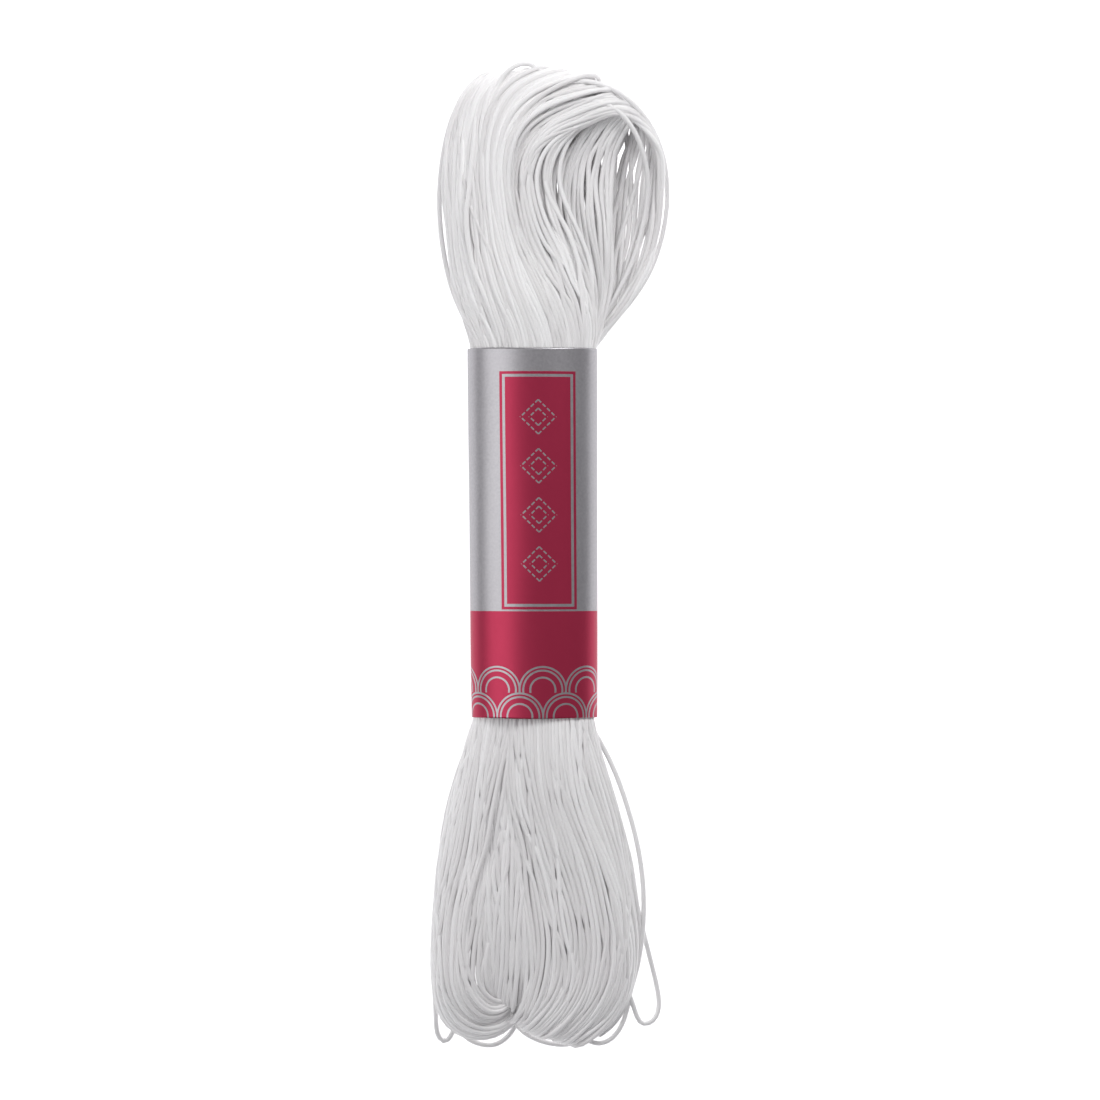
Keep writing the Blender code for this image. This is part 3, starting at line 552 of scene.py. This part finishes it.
def tube(name, lines, radius):
    """Round strands along the lines, each a path with its outward directions and run numbers, as one mesh.

    The UVs are the share of the way round a strand plus its run's number, and the millimetres along it.
    """
    turn = np.linspace(0, 2 * math.pi, SIDES, endpoint=False)
    points = []
    faces = []
    around = []
    travelled = []
    first = 0
    for path, normal, number in lines:
        ahead = unit(np.gradient(path, axis=0))
        up = unit(normal - (normal * ahead).sum(axis=1, keepdims=True) * ahead)
        side = np.cross(ahead, up)
        ring = up[:, None] * np.cos(turn)[None, :, None] + side[:, None] * np.sin(turn)[None, :, None]
        points.append((path[:, None] + radius * ring).reshape(-1, 3))
        row, column = np.meshgrid(np.arange(len(path) - 1), np.arange(SIDES), indexing="ij")
        after = (column + 1) % SIDES
        this_ring = row * SIDES
        next_ring = this_ring + SIDES
        corners = [this_ring + column, this_ring + after, next_ring + after, next_ring + column]
        faces.append(np.stack(corners, axis=-1).reshape(-1, 4) + first)
        share = np.stack([column, column + 1, column + 1, column], axis=-1) / SIDES + number[row][..., None]
        reach = lengths(path)
        along = np.stack([reach[row], reach[row], reach[row + 1], reach[row + 1]], axis=-1).reshape(-1)
        around.append(share.reshape(-1))
        travelled.append(along)
        first += len(path) * SIDES
    mesh = bpy.data.meshes.new(name)
    mesh.from_pydata((np.concatenate(points) * MM).tolist(), [], np.concatenate(faces).tolist())
    uvs = mesh.uv_layers.new(name="strand")
    uvs.data.foreach_set("uv", np.stack([np.concatenate(around), np.concatenate(travelled)], axis=1).ravel())
    mesh.shade_smooth()
    made = bpy.data.objects.new(name, mesh)
    bpy.context.scene.collection.objects.link(made)
    return made


def loose_line(points):
    """A smooth line through a loose turn's points, with an outward direction at each."""
    knots = np.arange(len(points))
    fine = np.linspace(0, knots[-1], 400)
    travelled = lengths(spline(knots, points, fine))
    count = int(travelled[-1] / (0.7 * RING_STEP))
    path = spline(knots, points, np.interp(np.linspace(0, travelled[-1], count), travelled, fine))
    return path, np.tile((0.0, 0.0, 1.0), (count, 1)), np.zeros(count, int)


def fan_lines(fan):
    """The fan's turns, side by side and each a little uneven."""
    rng = np.random.default_rng(6)
    lines = []
    for share in np.linspace(0, 1, fan.turns):
        points = np.array(fan.left) * (1 - share) + np.array(fan.right) * share
        lines.append(loose_line(points + rng.uniform(-FAN_UNEVENNESS, FAN_UNEVENNESS, points.shape)))
    return lines


class Nodes:
    """Short names for building a material's node tree."""

    def __init__(self, name):
        self.material = bpy.data.materials.new(name)
        self.material.use_nodes = True
        self.tree = self.material.node_tree
        self.shader = self.tree.nodes["Principled BSDF"]

    def add(self, kind, inputs=None, **settings):
        node = self.tree.nodes.new(kind)
        for key, value in settings.items():
            setattr(node, key, value)
        for key, value in (inputs or {}).items():
            self.put(value, node.inputs[key])
        return node

    def put(self, value, socket):
        if isinstance(value, bpy.types.NodeSocket):
            self.tree.links.new(value, socket)
        else:
            socket.default_value = value

    def math(self, operation, *values):
        node = self.add("ShaderNodeMath", dict(enumerate(values)), operation=operation)
        return node.outputs[0]

    def mix(self, share, low, high):
        node = self.add("ShaderNodeMix", {0: share, 6: low, 7: high}, data_type="RGBA")
        return node.outputs[2]

    def noise(self, vector, scale, detail=2.0):
        node = self.add("ShaderNodeTexNoise", {"Vector": vector, "Scale": scale, "Detail": detail})
        return node.outputs["Fac"]

    def set(self, **inputs):
        for key, value in inputs.items():
            self.put(value, self.shader.inputs[key.replace("_", " ")])


def colour(*srgb):
    """A colour given as it looks, 0 to 255, as a node takes it."""
    share = np.array(srgb) / 255
    linear = np.where(share <= 0.04045, share / 12.92, ((share + 0.055) / 1.055) ** 2.4)
    return (*linear.tolist(), 1.0)


def cotton():
    """Soft plied cotton: faint slanting plies, fine fibres, a tone that varies between runs, and a sheen."""
    n = Nodes("cotton thread")
    uv = n.add("ShaderNodeUVMap", uv_map="strand").outputs[0]
    parts = n.add("ShaderNodeSeparateXYZ", {0: uv})
    around, along = parts.outputs[0], parts.outputs[1]
    number = n.math("FLOOR", around)
    run = n.add("ShaderNodeTexWhiteNoise", {"W": number}, noise_dimensions="1D").outputs["Value"]
    slant = n.math("ADD", n.math("ADD", around, run), n.math("DIVIDE", along, PLY_PITCH))
    ply = n.math("ABSOLUTE", n.math("SINE", n.math("MULTIPLY", slant, math.pi * PLIES)))
    drawn_out = {0: n.math("MULTIPLY", slant, 14.0), 1: n.math("MULTIPLY", along, 0.5)}
    fibres = n.add("ShaderNodeCombineXYZ", drawn_out)
    fine = n.noise(fibres.outputs[0], 1.0, 3.0)
    places = n.add("ShaderNodeTexCoord").outputs["Object"]
    patches = n.noise(places, 90.0, 1.0)

    shade = n.mix(run, colour(231, 230, 230), colour(251, 251, 251))
    tint = n.mix(n.math("MULTIPLY", patches, 0.25), shade, colour(244, 238, 239))
    height = n.math("ADD", n.math("MULTIPLY", ply, 0.5), n.math("MULTIPLY", fine, 0.5))
    bump = n.add("ShaderNodeBump", {"Height": height, "Strength": 0.13, "Distance": 0.00012})
    n.set(Base_Color=tint, Roughness=0.45, Normal=bump.outputs[0])
    n.set(Sheen_Weight=0.7, Sheen_Roughness=0.5, Specular_IOR_Level=0.5)
    return n.material


def within(n, value, low, high):
    """1 where the value lies between the limits, otherwise 0."""
    return n.math("MULTIPLY", n.math("GREATER_THAN", value, low), n.math("LESS_THAN", value, high))


def frame_mask(n, x, y, left, bottom, right, top):
    """1 inside a rectangle of the print."""
    return n.math("MULTIPLY", within(n, x, left, right), within(n, y, bottom, top))


def wave_row(n, x, y, shift, foot):
    """One row of nested arcs: its silver lines, and where the row hides what is behind it."""
    across = n.math("WRAP", n.math("SUBTRACT", x, shift), WAVE_PITCH / 2, -WAVE_PITCH / 2)
    up = n.math("SUBTRACT", y, foot)
    reach = n.math("SQRT", n.math("ADD", n.math("MULTIPLY", across, across), n.math("MULTIPLY", up, up)))
    lines = 0.0
    for radius in WAVE_RADII:
        lines = n.math("MAXIMUM", lines, within(n, reach, radius - WAVE_LINE / 2, radius + WAVE_LINE / 2))
    lines = n.math("MULTIPLY", lines, n.math("GREATER_THAN", up, WAVE_FOOT))
    covered = n.math("LESS_THAN", reach, WAVE_RADII[0] + WAVE_LINE / 2)
    return lines, covered


def printed_paper():
    """Silver paper with a crimson foot with rows of arcs, and a crimson panel with stitched diamonds."""
    n = Nodes("printed paper")
    uv = n.add("ShaderNodeUVMap", uv_map="print").outputs[0]
    parts = n.add("ShaderNodeSeparateXYZ", {0: uv})
    x, y = parts.outputs[0], parts.outputs[1]

    left, right, bottom, top = PANEL
    panel = frame_mask(n, x, y, left, bottom, right, top)
    inner = frame_mask(n, x, y, left - RULE, bottom - RULE, right + RULE, top + RULE)
    outer = frame_mask(n, x, y, left - 2 * RULE, bottom - 2 * RULE, right + 2 * RULE, top + 2 * RULE)
    red = n.math("MAXIMUM", panel, n.math("SUBTRACT", outer, inner))
    red = n.math("MAXIMUM", red, n.math("LESS_THAN", y, FOOT_TOP))

    lines = 0.0
    for shift, foot in WAVE_ROWS:
        row_lines, covered = wave_row(n, x, y, shift, foot)
        lines = n.math("MAXIMUM", row_lines, n.math("MULTIPLY", lines, n.math("SUBTRACT", 1.0, covered)))
    middle = (left + right) / 2
    away = n.math("ABSOLUTE", n.math("SUBTRACT", x, middle))
    first = (bottom + top + STITCH_REPEAT) / 2
    beyond = n.math("WRAP", n.math("SUBTRACT", y, first), STITCH_REPEAT / 2, -STITCH_REPEAT / 2)
    beyond = n.math("ABSOLUTE", beyond)
    reach = n.math("ADD", away, beyond)
    run = n.math("FRACT", n.math("DIVIDE", n.math("SUBTRACT", away, beyond), STITCH_STEP))
    stitches = 0.0
    for ring in STITCH_RINGS:
        ring_line = within(n, reach, ring - STITCH_LINE / 2, ring + STITCH_LINE / 2)
        stitches = n.math("MAXIMUM", stitches, ring_line)
    stitches = n.math("MULTIPLY", stitches, n.math("LESS_THAN", run, STITCH_SHARE))
    room = frame_mask(n, x, y, left, bottom + STITCH_MARGIN, right, top - STITCH_MARGIN)
    stitches = n.math("MULTIPLY", stitches, room)
    lines = n.math("MAXIMUM", lines, stitches)
    red = n.math("MULTIPLY", red, n.math("SUBTRACT", 1.0, lines))

    places = n.add("ShaderNodeTexCoord").outputs["Object"]
    grain = n.noise(places, 2600.0, 3.0)
    cloud = n.noise(places, 160.0, 2.0)
    silver = n.mix(grain, colour(154, 152, 156), colour(183, 181, 184))
    crimson = n.mix(n.math("MULTIPLY", cloud, 0.5), colour(177, 46, 78), colour(165, 40, 70))
    height = n.math("ADD", grain, red)
    bump = n.add("ShaderNodeBump", {"Height": height, "Strength": 0.25, "Distance": 0.00003})
    n.set(Base_Color=n.mix(red, silver, crimson), Normal=bump.outputs[0])
    n.set(Metallic=n.math("SUBTRACT", 0.8, n.math("MULTIPLY", red, 0.16)))
    n.set(Roughness=n.math("ADD", 0.34, n.math("MULTIPLY", grain, 0.12)))
    return n.material


def band_section(edge, columns):
    """The band's outer section at an edge: X and Z at even steps, from under the middle to the left."""
    turn = np.linspace(0, 2 * math.pi, 721)
    x = -BAND_WIDTHS[edge] / 2 * np.sin(turn)
    z = WAIST_MIDDLE * (1 - np.cos(turn))
    foot = WAIST_MIDDLE * (1 - math.sqrt(1 - (BAND_FOOT / BAND_WIDTHS[edge]) ** 2))
    z = np.where(z < foot, 0.0, z)
    line = np.stack([x + BAND_MIDDLES[edge], z], axis=1)
    reach = lengths(line)
    total = reach[-1] + OVERLAP
    at = np.linspace(0, total, columns)
    around = np.stack([np.interp(at % reach[-1], reach, line[:, i]) for i in range(2)], axis=1)
    return around, at, reach[-1]


def paper_band():
    """The paper, wrapped once round with its ends overlapping underneath, and a little uneven."""
    columns, rows = 150, 36
    rng = np.random.default_rng(9)
    low, at, around = band_section(0, columns)
    high, _, _ = band_section(1, columns)
    share = np.concatenate([[0], np.linspace(BAND_HEM, 1 - BAND_HEM, rows - 2), [1]])[:, None]
    flat = low[None] * (1 - share[..., None]) + high[None] * share[..., None]
    centre_x = np.interp(share[:, 0], (0, 1), BAND_MIDDLES)
    centre = np.stack([centre_x, np.full(rows, WAIST_MIDDLE)], axis=1)[:, None]
    inward = unit(centre - flat)
    tucked = np.clip((OVERLAP - at) / 1.5, 0, 1)[None, :, None] * (PAPER + GLUE)
    phase = rng.uniform(0, 2 * math.pi, 4)
    swell = np.cos(at[None] * 0.31 + phase[0]) * np.cos(share * 5.2 + phase[1])
    swell += 0.6 * np.cos(at[None] * 0.73 + phase[2]) * np.cos(share * 9.4 + phase[3])
    raised = np.where(flat[..., 1] > 0.8, 1.0, 0.0) * (swell + 1.6) * BAND_SWELL
    flat = flat + inward * (tucked - raised[..., None])
    y = BAND_BOTTOM + (BAND_TOP - BAND_BOTTOM) * share + 0.05 * np.cos(at[None] * 0.4 + 6 * share)
    points = np.stack([flat[..., 0], np.broadcast_to(y, flat.shape[:2]), flat[..., 1]], axis=-1)
    row, column = np.meshgrid(np.arange(rows - 1), np.arange(columns - 1), indexing="ij")
    corner = (row * columns + column).ravel()
    faces = np.stack([corner, corner + 1, corner + columns + 1, corner + columns], axis=-1)
    mesh = bpy.data.meshes.new("band_paper")
    mesh.from_pydata((points.reshape(-1, 3) * MM).tolist(), [], faces.tolist())
    print_x = np.broadcast_to(at[None] - around / 2 - PRINT_TURN, flat.shape[:2])
    places = np.stack([print_x, points[..., 1]], axis=-1).reshape(-1, 2)
    uvs = mesh.uv_layers.new(name="print")
    uvs.data.foreach_set("uv", places[faces.ravel()].ravel())
    mesh.shade_smooth()
    band = bpy.data.objects.new("band_paper", mesh)
    bpy.context.scene.collection.objects.link(band)
    wall = band.modifiers.new("paper", "SOLIDIFY")
    wall.thickness = PAPER * MM
    wall.offset = -1
    return band


def area_light(name, place, aim, size, watts):
    lamp = bpy.data.lights.new(name, "AREA")
    lamp.size = size
    lamp.energy = watts
    made = bpy.data.objects.new(name, lamp)
    bpy.context.scene.collection.objects.link(made)
    made.location = place
    point_at(made, aim)
    return made


def point_at(thing, aim):
    """Turns a lamp so that it shines at a point."""
    thing.rotation_euler = (Vector(aim) - thing.location).to_track_quat("-Z", "Y").to_euler()


def stage():
    """A white floor, a soft light on the left and one beyond the upper end, and the camera straight above."""
    bpy.ops.mesh.primitive_plane_add(size=3.0, location=(0, 0, 0))
    floor = bpy.context.object
    floor.name = "floor"
    n = Nodes("white floor")
    n.set(Base_Color=colour(250, 250, 252), Roughness=0.6, Specular_IOR_Level=0.2)
    n.set(Emission_Color=colour(255, 255, 255), Emission_Strength=0.66)
    floor.data.materials.append(n.material)

    area_light("key", (-0.41, 0.05, 0.47), (0, 0.02, 0), 0.5, 1.55)
    area_light("head", (0.2, 0.33, 0.31), (0, 0.07, 0), 0.2, 1.25)
    world = bpy.data.worlds.new("studio")
    world.use_nodes = True
    world.node_tree.nodes["Background"].inputs[0].default_value = colour(242, 241, 246)
    world.node_tree.nodes["Background"].inputs[1].default_value = 0.26
    bpy.context.scene.world = world

    lens = bpy.data.cameras.new("camera")
    lens.lens = LENS
    lens.sensor_width = SENSOR
    camera = bpy.data.objects.new("camera", lens)
    bpy.context.scene.collection.objects.link(camera)
    camera.location = (VIEW_X * MM, VIEW_Y * MM, (VIEW_WIDTH * LENS / SENSOR + VIEW_PLANE) * MM)
    bpy.context.scene.camera = camera
    bpy.context.scene.view_settings.view_transform = "Standard"


def main():
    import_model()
    stage()

    thread = cotton()
    pieces = []
    turns = wind()
    for number, first in enumerate(range(0, len(turns), TURNS_PER_PIECE), start=1):
        runs = [run for turn in turns[first : first + TURNS_PER_PIECE] for run in turn]
        pieces.append(tube(f"turns_{number}", [joined(runs)], THREAD / 2))
    for name, points in (LOOSE_TURNS | STRAY_TURNS).items():
        pieces.append(tube(name, [loose_line(points)], THREAD / 2))
    for name, fan in FANS.items():
        pieces.append(tube(name, fan_lines(fan), THREAD / 2))
    for piece in pieces:
        piece.data.materials.append(thread)
        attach(piece, "root")
        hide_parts("hank")

    band = paper_band()
    band.data.materials.append(printed_paper())
    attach(band, "root")
    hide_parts("paper_band")


main()
